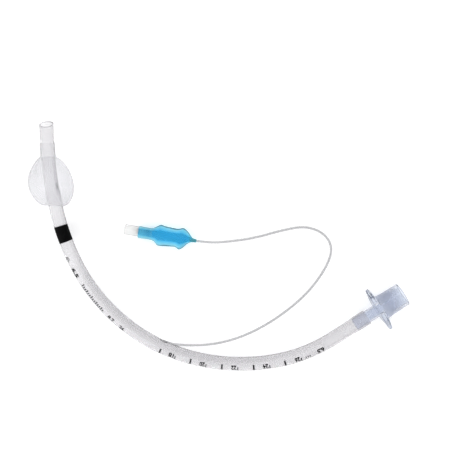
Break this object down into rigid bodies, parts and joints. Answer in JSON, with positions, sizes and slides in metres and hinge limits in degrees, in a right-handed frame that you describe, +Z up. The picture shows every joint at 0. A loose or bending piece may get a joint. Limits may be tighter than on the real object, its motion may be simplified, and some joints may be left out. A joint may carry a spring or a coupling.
{
  "type": "endotracheal tube",
  "caption": "Curved clear breathing tube with an inflated cuff near its bevelled tip, a 15 mm cone connector, and a pilot balloon with a spring valve on a thin line.",
  "frame": {"origin": "middle of the outline of shaft, cuff and connector in plan, at the surface they lie on", "axes": "+Z up from the surface, +X along the longest extent towards the connector, +Y towards the bevelled tip; the shaft lies on its side with its bend in the XY plane"},
  "size_m": [0.2393, 0.1566, 0.0286],
  "materials": {
    "clear_pvc": "clear soft PVC, smooth",
    "cuff_film": "thin clear film, slightly milky",
    "connector_plastic": "pale translucent lavender-blue moulding",
    "line_pvc": "clear to milky thin tubing",
    "blue_film": "translucent sky-blue film",
    "valve_plastic": "milky white moulding",
    "core_plastic": "white moulding",
    "seal_rubber": "soft rubber",
    "spring_steel": "drawn stainless wire"
  },
  "bodies": {
    "airway_tube": {"tube_shaft": "clear_pvc", "cuff": "cuff_film", "connector": "connector_plastic", "inflation_line": "line_pvc", "pilot_balloon": "blue_film", "valve_housing": "valve_plastic", "valve_retainer": "valve_plastic", "valve_spring": "spring_steel"},
    "valve_plunger": {"valve_core": "core_plastic", "valve_seal": "seal_rubber"}
  },
  "joints": [
    {"name": "valve_press", "type": "slide", "parent": "airway_tube", "child": "valve_plunger", "axis": [0.9863, -0.1633, 0.024], "range_m": [0, 0.0012], "stiffness_N_per_m": 300, "springref_m": -0.0012, "deforming": ["valve_spring"]}
  ]
}
